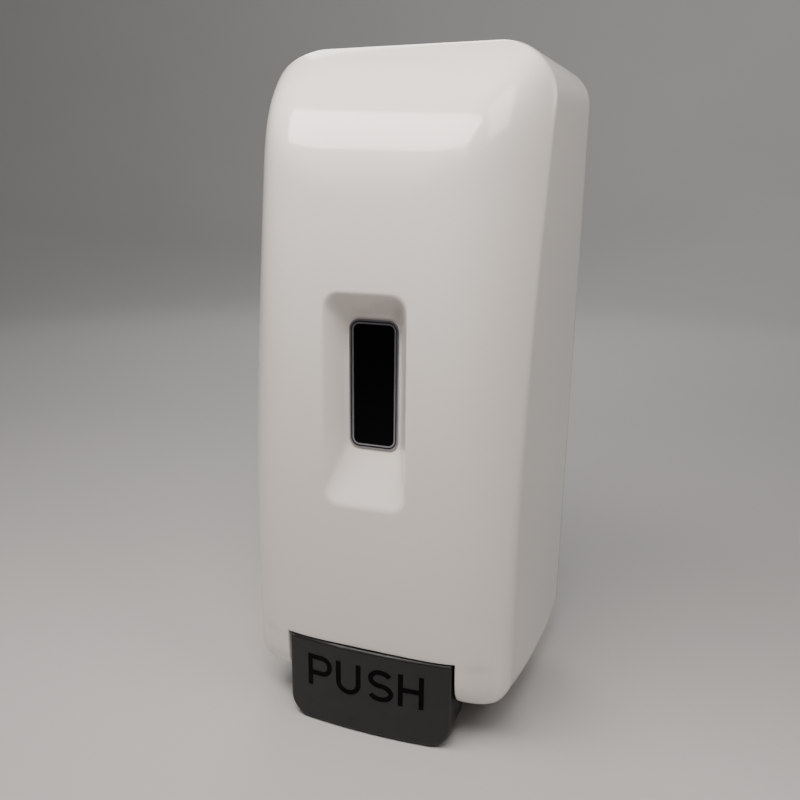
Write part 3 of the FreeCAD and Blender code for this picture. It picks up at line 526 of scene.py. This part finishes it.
def skirt_column(kind, share, depth, out, soft, inner):
    """One column from the front, over the crease and back along the skirt."""
    start = front_at(*inner)
    leave = front_slope(inner[0], inner[1], out)
    begin = depth - soft * 1.15

    def at(deep):
        (x, z), _ = outline(kind, share, deep)
        return Vector((x, -deep, z))
    first = at(begin)
    arrive = (at(begin - 0.05) - first).normalized()
    points = [hermite(start, leave, first, arrive, k / CREASE_ROWS)
              for k in range(CREASE_ROWS + 1)]
    for k in range(1, SKIRT_ROWS + 1):
        points.append(at(mix(begin, REAR + RIM_ROUND, k / SKIRT_ROWS)))
    return points


def cut_away(obj, tools):
    """Cut closed tool meshes out of an object and free them."""
    for tool in tools:
        step = obj.modifiers.new("cut", "BOOLEAN")
        step.operation, step.solver, step.object = "DIFFERENCE", "EXACT", tool
        graph = bpy.context.evaluated_depsgraph_get()
        cut = bpy.data.meshes.new_from_object(obj.evaluated_get(graph))
        obj.modifiers.clear()
        old, obj.data = obj.data, cut
        bpy.data.meshes.remove(old)
        bpy.data.objects.remove(tool)


def join_onto(target, other):
    """Add another object's mesh to the target's, and free the other."""
    bm = bmesh.new()
    bm.from_mesh(target.data)
    bm.from_mesh(other.data)
    bpy.data.objects.remove(other)
    bm.to_mesh(target.data)
    bm.free()


def make_cover():
    """The cover's shell with its lock hole, the cheeks beside the lever and the hinge sleeves."""
    bm = cover_skin()
    close_wall(bm, WALL, RIM_ROUND)
    cover = as_object("cover_shell", bm)
    # the lock's hole and the shallow seat of its flange
    tools = []
    above, below = 140, 120
    for radius, low in ((LOCK_HOLE, below), (LOCK_SEAT, LOCK_SEAT_HEIGHT)):
        tool = bmesh.new()
        tube(tool, Vector((0, -LOCK_DEPTH, low)), Vector((0, -LOCK_DEPTH, above)), radius,
             sides=64, edge=0.01)
        tools.append(as_object("tool", tool))
    cut_away(cover, tools)
    # cheeks that carry the pivot rod, and the hinge sleeves
    extra = bmesh.new()
    for side in (1, -1):
        cheek_plate(extra, side)
        tube(extra, Vector((side * HINGE_INNER, -HINGE_DEPTH, HINGE_HEIGHT)),
             Vector((side * HINGE_OUTER, -HINGE_DEPTH, HINGE_HEIGHT)), HINGE_RADIUS,
             bore=HINGE_BORE)
    join_onto(cover, as_object("cover_inside", extra))
    cover.data.shade_smooth()
    cover.data.set_sharp_from_angle(angle=math.radians(40))
    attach(cover, "cover")
    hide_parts("front_cover")
    return cover


def cheek_plate(bm, side):
    """A plate just behind the notch's side, with the lobe's own rounded lower front."""
    profile = [(CHEEK_REAR, CHEEK_TOP), (CHEEK_FRONT, CHEEK_TOP), (CHEEK_FRONT, -108.6)]
    centre_height = LOBE_HEIGHT + CHEEK_SETBACK
    across, down, drawn_in = 17.6, 18.6, 1.5
    for k in range(1, CHEEK_STEPS + 1):
        a = math.radians(90 * k / CHEEK_STEPS)
        profile.append((LOBE_DEPTH + across * math.cos(a) - drawn_in * (1 - k / CHEEK_STEPS),
                        centre_height - down * math.sin(a)))
    profile.append((CHEEK_REAR, CHEEK_LOW))
    near, far = side * (NOTCH_HALF + 0.05), side * (NOTCH_HALF + WALL)
    one = [bm.verts.new((near, -d, z)) for d, z in profile]
    two = [bm.verts.new((far, -d, z)) for d, z in profile]
    bm.faces.new(one if side > 0 else list(reversed(one)))
    bm.faces.new(list(reversed(two)) if side > 0 else two)
    for i in range(len(profile)):
        n = (i + 1) % len(profile)
        quad = [one[i], two[i], two[n], one[n]]
        bm.faces.new(quad if side > 0 else list(reversed(quad)))
    bmesh.ops.recalc_face_normals(bm, faces=bm.faces)


# ---------------------------------------------------------------- lettering on the lever

LEVER_CROWN, LEVER_FRONT = 271.0, 103.4
STROKE, LETTER_LIFT, LETTER_SINK = 2.1, 0.16, -0.05
LETTER_LOW, LETTER_HIGH = -127.9, -113.2


def on_lever(x, z, lift):
    """A point on the lever's crowned face, lifted off it."""
    y = LEVER_CROWN - LEVER_FRONT - math.sqrt(LEVER_CROWN ** 2 - x ** 2)
    return Vector((x, y - lift, z))


def ribbon(bm, path):
    """A flat stroke along a path in the front view, with square ends and mitred corners."""
    left, right = [], []
    for i, p in enumerate(path):
        before = (p - path[i - 1]).normalized() if i else (path[1] - p).normalized()
        after = (path[i + 1] - p).normalized() if i < len(path) - 1 else before
        mean = (before + after).normalized()
        side = Vector((-mean.y, mean.x)) * (STROKE / 2 / max(0.5, mean.dot(before)))
        left.append(p + side)
        right.append(p - side)
    rings = []
    for a, b in zip(left, right):
        rings.append([bm.verts.new(on_lever(q.x, q.y, lift))
                      for q, lift in ((a, LETTER_SINK), (a, LETTER_LIFT),
                                             (b, LETTER_LIFT), (b, LETTER_SINK))])
    for one, two in zip(rings, rings[1:]):
        for k in range(4):
            n = (k + 1) % 4
            bm.faces.new([one[k], two[k], two[n], one[n]])
    bm.faces.new(rings[0])
    bm.faces.new(list(reversed(rings[-1])))


def arc(cx, cz, rx, rz, start, end, steps):
    """Points along part of an ellipse in the front view, with angles in degrees."""
    return [Vector((cx + rx * math.cos(math.radians(mix(start, end, k / steps))),
                    cz + rz * math.sin(math.radians(mix(start, end, k / steps)))))
            for k in range(steps + 1)]


def dense(path, step=1.5):
    """The same path with points no further apart than a step, so that it follows the crown."""
    made = [path[0]]
    for a, b in zip(path, path[1:]):
        count = max(1, math.ceil((b - a).length / step))
        made += [a.lerp(b, k / count) for k in range(1, count + 1)]
    return made


def letter_p(x, low, high):
    """An upright and a bowl at its top."""
    half, bowl, straight = STROKE / 2, 3.7, 5.6
    top, start = high - half, x + half * 0.9
    return [[Vector((x, low)), Vector((x, high))],
            [Vector((start, top)), Vector((x + straight, top))]
            + arc(x + straight, top - bowl, bowl, bowl, 90, -90, 14)[1:]
            + [Vector((start, top - 2 * bowl))]]


def letter_u(x, low, high):
    """Two uprights joined by a half round."""
    wide, curve = 9.2, 4.2
    bend = low + STROKE / 2 + curve
    return [[Vector((x, high)), Vector((x, bend))]
            + arc(x + wide / 2, bend, wide / 2, curve, 180, 360, 18)[1:]
            + [Vector((x + wide, high))]]


def letter_s(x, low, high):
    """Two open bowls, the lower one a little wider."""
    top, foot = high - STROKE / 2, low + STROKE / 2
    radius, upper_wide, lower_wide = (top - foot) / 4, 4.3, 4.7
    upper = arc(x, top - radius, upper_wide, radius, 25, 270, 22)
    lower = arc(x, foot + radius, lower_wide, radius, 90, -155, 22)
    return [upper + lower[1:]]


def letter_h(x, low, high):
    """Two uprights and a bar just above the middle."""
    wide, inset = 8.9, STROKE / 2 * 0.9
    bar = (low + high) / 2 + 0.3
    return [[Vector((x, low)), Vector((x, high))],
            [Vector((x + wide, low)), Vector((x + wide, high))],
            [Vector((x + inset, bar)), Vector((x + wide - inset, bar))]]


def make_letters():
    """PUSH in plain strokes of its own, the generic word that such a lever carries."""
    bm = bmesh.new()
    for letter, x in ((letter_p, -26.0), (letter_u, -12.6), (letter_s, 6.5), (letter_h, 15.3)):
        for stroke in letter(x, LETTER_LOW, LETTER_HIGH):
            ribbon(bm, dense(stroke))
    bmesh.ops.recalc_face_normals(bm, faces=bm.faces)
    letters = as_object("push_lettering", bm)
    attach(letters, "lever")
    return letters


# ---------------------------------------------------------------- pump spring

SPRING_LOW, SPRING_HIGH, SPRING_RADIUS, SPRING_WIRE = -104.9, -84.8, 10.6, 0.7
SPRING_TURNS, POINTS_PER_TURN, WIRE_SIDES, PUMP_DEPTH = 5.5, 48, 12, 48


def climb(share):
    """The spring's height share: nearly level at both ends, and steady between them."""
    flat = 0.75 / SPRING_TURNS
    level = 0.07
    if share < flat:
        return level * share / flat
    if share > 1 - flat:
        return 1 - level * (1 - share) / flat
    return mix(level, 1 - level, (share - flat) / (1 - 2 * flat))


def spring_centres():
    """Points along the wire's middle line."""
    count = int(SPRING_TURNS * POINTS_PER_TURN)
    points = []
    for i in range(count + 1):
        a = 2 * math.pi * i / POINTS_PER_TURN
        points.append(Vector((SPRING_RADIUS * math.cos(a),
                              -PUMP_DEPTH + SPRING_RADIUS * math.sin(a),
                              mix(SPRING_LOW, SPRING_HIGH, climb(i / count)))))
    return points


def make_spring():
    """A wound spring with closed ends."""
    centres = spring_centres()
    last = len(centres) - 1
    bm = bmesh.new()
    rings = []
    for i, c in enumerate(centres):
        along = (centres[min(i + 1, last)] - centres[max(i - 1, 0)]).normalized()
        out = Vector((c.x, c.y + PUMP_DEPTH, 0)).normalized()
        up = along.cross(out).normalized()
        angles = [2 * math.pi * k / WIRE_SIDES for k in range(WIRE_SIDES)]
        rings.append([bm.verts.new(c + (out * math.cos(a) + up * math.sin(a)) * SPRING_WIRE)
                      for a in angles])
    for one, two in zip(rings, rings[1:]):
        for k in range(WIRE_SIDES):
            n = (k + 1) % WIRE_SIDES
            bm.faces.new([one[k], one[n], two[n], two[k]])
    bm.faces.new(list(reversed(rings[0])))
    bm.faces.new(rings[-1])
    bmesh.ops.recalc_face_normals(bm, faces=bm.faces)
    spring = as_object("pump_spring_wire", bm, smooth_angle=60)
    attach(spring, "wall_unit")
    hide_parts("pump_spring")
    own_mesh(spring)
    return spring


# ---------------------------------------------------------------- materials

def noise(tree, vector, scale, detail=3.0):
    """A noise texture in the object's own space."""
    made = tree.nodes.new("ShaderNodeTexNoise")
    made.inputs["Scale"].default_value = scale
    made.inputs["Detail"].default_value = detail
    tree.links.new(vector, made.inputs["Vector"])
    return made.outputs["Fac"]


def add_tone(tree, vector, shader, colour, tone, scale):
    """The base colour, drifting slightly darker and lighter over the surface."""
    ramp = tree.nodes.new("ShaderNodeValToRGB")
    dark, light = ramp.color_ramp.elements
    dark.position, light.position = 0.3, 0.7
    dark.color = [c * (1 - tone) for c in colour] + [1]
    light.color = [min(1, c * (1 + tone)) for c in colour] + [1]
    tree.links.new(noise(tree, vector, scale), ramp.inputs["Fac"])
    tree.links.new(ramp.outputs["Color"], shader.inputs["Base Color"])


def add_gloss(tree, vector, shader, roughness, wear, scale):
    """Roughness that varies by wear in soft patches."""
    gloss = tree.nodes.new("ShaderNodeMapRange")
    gloss.inputs["From Min"].default_value = 0.3
    gloss.inputs["From Max"].default_value = 0.7
    gloss.inputs["To Min"].default_value = max(0.02, roughness - wear / 2)
    gloss.inputs["To Max"].default_value = roughness + wear / 2
    tree.links.new(noise(tree, vector, scale, 5.0), gloss.inputs["Value"])
    tree.links.new(gloss.outputs["Result"], shader.inputs["Roughness"])


def add_relief(tree, vector, shader, grain):
    """A fine relief from layers of (scale per metre, height in metres, detail)."""
    last = None
    for scale, height, detail in grain:
        bump = tree.nodes.new("ShaderNodeBump")
        bump.inputs["Strength"].default_value = 1.0
        bump.inputs["Distance"].default_value = height
        tree.links.new(noise(tree, vector, scale, detail), bump.inputs["Height"])
        if last:
            tree.links.new(last.outputs["Normal"], bump.inputs["Normal"])
        last = bump
    if last:
        tree.links.new(last.outputs["Normal"], shader.inputs["Normal"])


def material(name, colour, roughness, grain=(), metallic=0.0, specular=0.5, coat=0.0,
             coat_roughness=0.05, transmission=0.0, ior=1.5, tone=0.03, tone_scale=30.0,
             wear=0.06, wear_scale=180.0, stretch=(1, 1, 1)):
    """A moulded, cast or drawn surface: slight tone drift, uneven gloss and a fine relief."""
    made = bpy.data.materials.new(name)
    made.use_nodes = True
    tree = made.node_tree
    shader = tree.nodes["Principled BSDF"]
    for socket, value in (("Metallic", metallic), ("Specular IOR Level", specular),
                          ("Coat Weight", coat), ("Coat Roughness", coat_roughness),
                          ("Transmission Weight", transmission), ("IOR", ior)):
        shader.inputs[socket].default_value = value
    where = tree.nodes.new("ShaderNodeTexCoord")
    spread = tree.nodes.new("ShaderNodeMapping")
    spread.inputs["Scale"].default_value = stretch
    tree.links.new(where.outputs["Object"], spread.inputs["Vector"])
    vector = spread.outputs["Vector"]
    add_tone(tree, vector, shader, colour, tone, tone_scale)
    add_gloss(tree, vector, shader, roughness, wear, wear_scale)
    add_relief(tree, vector, shader, grain)
    return made


def make_materials():
    """One finish for each material slot of the record, by the slot's name."""
    fine = ((9000, 4e-6, 2.0),)
    satin = ((2600, 1.2e-5, 3.0), (9000, 5e-6, 2.0))
    return {
        "cover_plastic": material("cover_plastic", (0.80, 0.755, 0.715), 0.13,
                                  ((260, 6e-6, 2.0), (4200, 1.2e-6, 2.0)), coat=0.35,
                                  coat_roughness=0.06, tone=0.012, tone_scale=12, wear=0.05),
        "plate_plastic": material("plate_plastic", (0.70, 0.69, 0.67), 0.42, satin, tone=0.02),
        "bracket_plastic": material("bracket_plastic", (0.62, 0.61, 0.59), 0.45, satin),
        "lever_plastic": material("lever_plastic", (0.006, 0.0068, 0.0075), 0.45,
                                  ((3200, 2.2e-5, 3.0), (9000, 6e-6, 2.0)), tone=0.10,
                                  tone_scale=500, wear=0.10),
        "black_plastic": material("black_plastic", (0.001, 0.001, 0.0011), 0.50, fine,
                                  specular=0.06),
        "lens_black": material("lens_black", (0.001, 0.001, 0.0013), 0.06, (), specular=0.1,
                               wear=0.02),
        "bezel_metal": material("bezel_metal", (0.62, 0.60, 0.66), 0.22, fine, metallic=1.0,
                                wear=0.08),
        "seal_rubber": material("seal_rubber", (0.020, 0.020, 0.022), 0.62, satin),
        "valve_silicone": material("valve_silicone", (0.75, 0.74, 0.70), 0.35, fine,
                                   transmission=0.25, ior=1.41),
        "steel": material("steel", (0.60, 0.60, 0.61), 0.28, fine, metallic=1.0,
                          stretch=(1, 1, 0.1)),
        "zinc_steel": material("zinc_steel", (0.66, 0.66, 0.63), 0.33, satin, metallic=1.0,
                               tone=0.08, tone_scale=300),
        "spring_steel": material("spring_steel", (0.55, 0.55, 0.56), 0.24, fine, metallic=1.0),
        "bottle_plastic": material("bottle_plastic", (0.80, 0.80, 0.77), 0.32, satin,
                                   transmission=0.35, ior=1.5, tone=0.02),
        "cap_plastic": material("cap_plastic", (0.10, 0.22, 0.42), 0.38, satin),
        "pump_plastic": material("pump_plastic", (0.74, 0.74, 0.73), 0.30, fine),
        "nozzle_plastic": material("nozzle_plastic", (0.70, 0.70, 0.69), 0.30, fine),
        "mesh_nylon": material("mesh_nylon", (0.82, 0.82, 0.80), 0.50,
                               ((6000, 4e-5, 0.0),)),
        "lock_chrome": material("lock_chrome", (0.78, 0.78, 0.79), 0.12, fine, metallic=1.0,
                                wear=0.05),
        "lock_brass": material("lock_brass", (0.70, 0.53, 0.26), 0.25, fine, metallic=1.0),
    }


WINDOW_BEVEL = 0.12


def dress(materials):
    """Give every CAD node the material of its slot, and the window's rings soft edges."""
    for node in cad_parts.values():
        slots = [s.name for s in node.data.materials]
        for i, slot in enumerate(slots):
            key = slot.split(".")[0]
            node.data.materials[i] = materials[key]
    for name in ("window_bezel", "window_gasket", "lens_trim", "window_lens"):
        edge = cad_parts[name].modifiers.new("soft_edge", "BEVEL")
        edge.width, edge.segments, edge.limit_method = WINDOW_BEVEL * MM, 2, "ANGLE"
        edge.angle_limit = math.radians(60)


# ---------------------------------------------------------------- stage and light

def make_stage():
    """A pale floor that sweeps up all round, clear of every view."""
    bm = bmesh.new()
    gap, flat, sweep, height, steps, sides = 0.4, 1300, 900, 1500, 12, 96
    floor_z = CAD_BOX[0][2] / MM - gap
    profile = [(0, 0), (300, 0), (900, 0), (flat, 0)]
    for k in range(1, steps + 1):
        a = math.radians(90 * k / steps)
        profile.append((flat + sweep * math.sin(a), sweep * (1 - math.cos(a))))
    profile.append((flat + sweep, height))
    centre = bm.verts.new((0, 0, floor_z))
    rings = [[bm.verts.new((r * math.cos(2 * math.pi * i / sides),
                            r * math.sin(2 * math.pi * i / sides), floor_z + h))
              for i in range(sides)] for r, h in profile[1:]]
    for i in range(sides):
        n = (i + 1) % sides
        bm.faces.new([centre, rings[0][i], rings[0][n]])
        for one, two in zip(rings, rings[1:]):
            bm.faces.new([one[i], two[i], two[n], one[n]])
    floor = as_object("stage_floor", bm)
    floor.data.materials.append(material("stage_paper", (0.47, 0.465, 0.46), 0.75,
                                         ((900, 3e-5, 3.0),), tone=0.02, tone_scale=3,
                                         specular=0.2))


# name, place, aimed at, size, watts, colour
LIGHTS = (
    ("backdrop", (0.2, 0.9, 1.1), (-0.5, 2.2, 0.1), (1.2, 0.8), 10.0, (1, 0.98, 0.97)),
    ("rear", (-0.45, 0.9, 0.8), (0, 0, 0.0), (0.6, 0.6), 4.0, (1, 0.98, 0.97)),
    ("key", (-0.06, -0.27, 0.38), (0.01, -0.08, 0.14), (0.50, 0.20), 3.9, (1, 0.94, 0.885)),
    ("right", (0.30, -0.16, 0.38), (0.02, -0.06, 0.12), (0.2, 0.3), 0.95, (1, 0.95, 0.905)),
    ("front", (0.42, -1.0, 0.85), (0, -0.1, 0.05), (0.25, 0.7), 1.2, (1, 0.96, 0.93)),
)
SKY_COLOUR, SKY_STRENGTH = (0.93, 0.95, 1.0, 1), 0.09


def area_light(name, place, target, size, power, colour):
    """A rectangular lamp that lights the scene and is not itself in the picture."""
    data = bpy.data.lights.new(name, "AREA")
    data.shape = "RECTANGLE"
    data.size, data.size_y = size
    data.energy, data.color = power, colour
    lamp = bpy.data.objects.new(name, data)
    lamp.location = place
    lamp.rotation_euler = (Vector(target) - Vector(place)).to_track_quat("-Z", "Y").to_euler()
    lamp.visible_camera = False
    bpy.context.scene.collection.objects.link(lamp)


def make_lights():
    """A dim even sky and soft lamps, the strongest close above the front."""
    world = bpy.data.worlds.new("studio")
    bpy.context.scene.world = world
    world.use_nodes = True
    sky = world.node_tree.nodes["Background"]
    sky.inputs["Color"].default_value = SKY_COLOUR
    sky.inputs["Strength"].default_value = SKY_STRENGTH
    for light in LIGHTS:
        area_light(*light)


# ---------------------------------------------------------------- camera

CAMERA_PLACE = (0.11016, -0.3715, 0.07632)
CAMERA_YAW, CAMERA_PITCH, CAMERA_ROLL = 19.85, 14.44, -0.67
LENS, SENSOR, SHIFT_X = 35.486, 36.0, 0.00125


def make_camera():
    """A camera to the right of the front and above it, turned left and looking down."""
    data = bpy.data.cameras.new("camera")
    data.sensor_width, data.lens = SENSOR, LENS
    data.shift_x = SHIFT_X
    data.clip_start, data.clip_end = 0.01, 20
    data.dof.use_dof = False
    camera = bpy.data.objects.new("camera", data)
    yaw, pitch, roll = (math.radians(a) for a in (CAMERA_YAW, CAMERA_PITCH, CAMERA_ROLL))
    forward = Vector((-math.sin(yaw) * math.cos(pitch), math.cos(yaw) * math.cos(pitch),
                      -math.sin(pitch)))
    level = Vector((math.cos(yaw), math.sin(yaw), 0))
    upright = level.cross(forward)
    right = level * math.cos(roll) - upright * math.sin(roll)
    up = level * math.sin(roll) + upright * math.cos(roll)
    turn = Matrix((right, up, -forward)).transposed()
    camera.matrix_world = Matrix.Translation(CAMERA_PLACE) @ turn.to_4x4()
    bpy.context.scene.collection.objects.link(camera)
    bpy.context.scene.camera = camera


materials = make_materials()
make_camera()
make_stage()
make_lights()
dress(materials)
make_cover().data.materials.append(materials["cover_plastic"])
make_letters().data.materials.append(materials["black_plastic"])
make_spring().data.materials.append(materials["spring_steel"])

bpy.context.view_layer.update()
